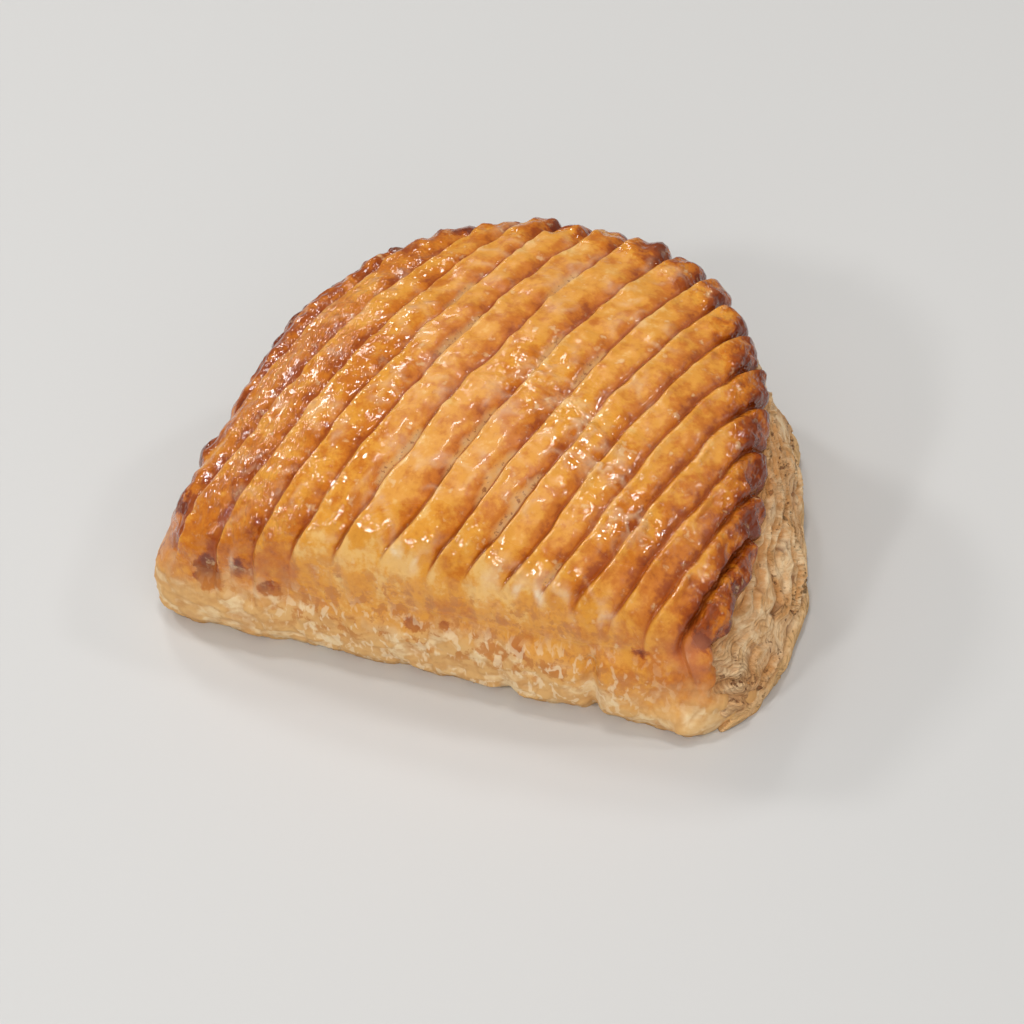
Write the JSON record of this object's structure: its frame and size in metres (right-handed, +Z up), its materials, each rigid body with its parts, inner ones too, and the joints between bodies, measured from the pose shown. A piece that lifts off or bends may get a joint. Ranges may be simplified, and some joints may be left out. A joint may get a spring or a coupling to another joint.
{
  "type": "turnover pastry",
  "caption": "Half-moon puff pastry turnover with a straight folded front, a layered cut edge and a scored, puffed golden crust; lies flat on its base.",
  "frame": {"origin": "middle of the box that the pastry stands in, at the height of its base", "axes": "+X along the folded front edge, towards the right seen from the front; +Y from the fold to the round back; +Z up"},
  "size_m": [0.1356, 0.106, 0.0505],
  "materials": {
    "baked_dough": "egg-washed puff pastry, golden to red-brown, glossy on top and matt at the cut edge"
  },
  "bodies": {
    "root": {"turnover": "baked_dough"}
  },
  "joints": []
}
